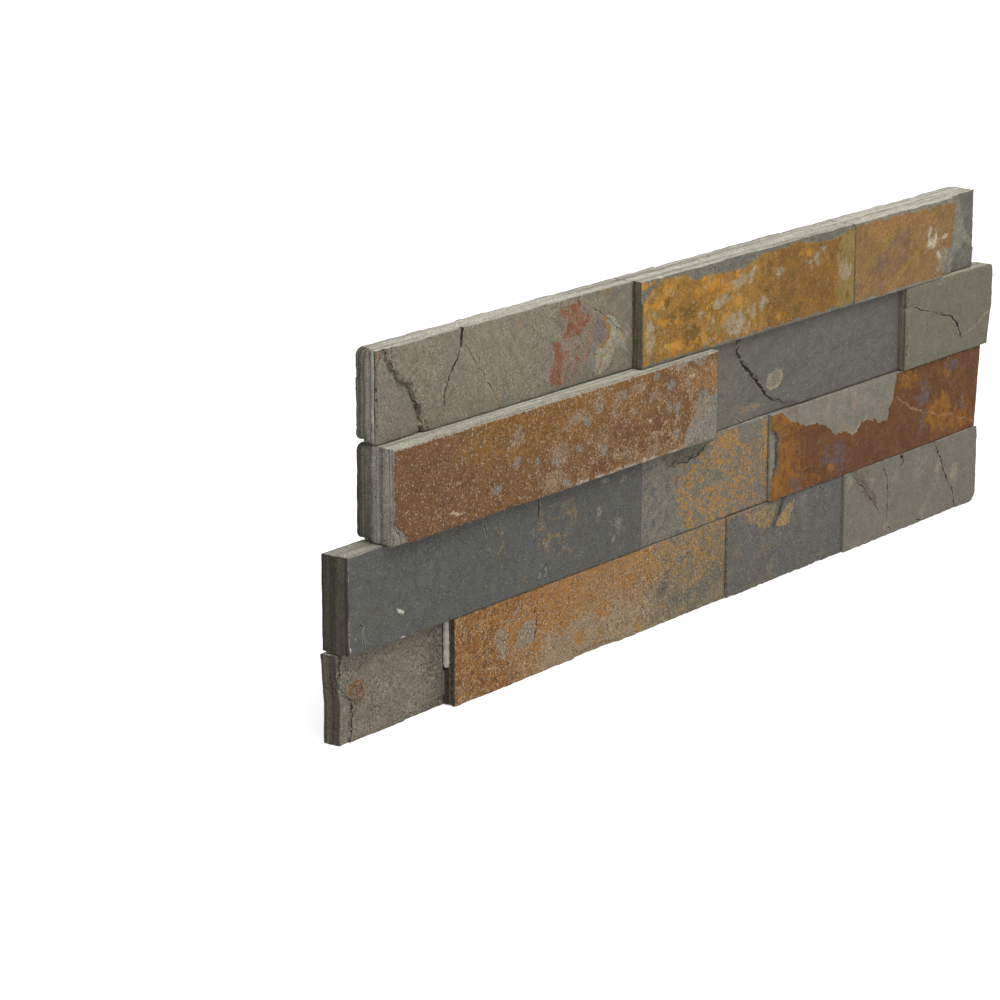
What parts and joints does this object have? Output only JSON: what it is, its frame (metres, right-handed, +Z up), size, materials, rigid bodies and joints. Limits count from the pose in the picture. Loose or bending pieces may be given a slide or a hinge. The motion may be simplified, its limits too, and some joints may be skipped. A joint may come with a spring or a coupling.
{
  "type": "stone veneer panel",
  "caption": "Flat wall-cladding panel of split slate ledge strips bonded in staggered courses, with interlocking ends, cleft faces of uneven depth and a flat back.",
  "frame": {"origin": "middle of the back face's bottom edge, on the wall plane", "axes": "+X along the panel, to the right when facing its front; +Y out of the back face, into the wall; +Z up"},
  "size_m": [0.4602, 0.019, 0.15],
  "materials": {
    "bottom_olive_stone": "split cleft, rough",
    "bottom_orange_stone": "split cleft, granular rust",
    "bottom_grey_stone": "split cleft, rough",
    "bottom_buff_stone": "split cleft, rough",
    "lower_dark_stone": "split cleft, fine",
    "lower_speckled_stone": "split cleft, speckled rust",
    "lower_copper_stone": "split cleft, copper rust",
    "upper_rust_stone": "split cleft, rust brown",
    "upper_grey_stone": "split cleft, fine",
    "upper_olive_stone": "split cleft, rough",
    "top_olive_stone": "split cleft, fine",
    "top_gold_stone": "split cleft, gold rust",
    "top_amber_stone": "split cleft, amber rust",
    "adhesive": "matt cured adhesive"
  },
  "bodies": {
    "root": {"bottom_olive_stone": "bottom_olive_stone", "bottom_orange_stone": "bottom_orange_stone", "bottom_grey_stone": "bottom_grey_stone", "bottom_buff_stone": "bottom_buff_stone", "lower_dark_stone": "lower_dark_stone", "lower_speckled_stone": "lower_speckled_stone", "lower_copper_stone": "lower_copper_stone", "upper_rust_stone": "upper_rust_stone", "upper_grey_stone": "upper_grey_stone", "upper_olive_stone": "upper_olive_stone", "top_olive_stone": "top_olive_stone", "top_gold_stone": "top_gold_stone", "top_amber_stone": "top_amber_stone", "bed_adhesive_bottom": "adhesive", "bed_adhesive_middle": "adhesive", "bed_adhesive_top": "adhesive", "butt_adhesive_bottom_left": "adhesive", "butt_adhesive_bottom_middle": "adhesive", "butt_adhesive_bottom_right": "adhesive", "butt_adhesive_lower_left": "adhesive", "butt_adhesive_lower_right": "adhesive", "butt_adhesive_upper_left": "adhesive", "butt_adhesive_upper_right": "adhesive", "butt_adhesive_top_left": "adhesive", "butt_adhesive_top_right": "adhesive"}
  },
  "joints": []
}
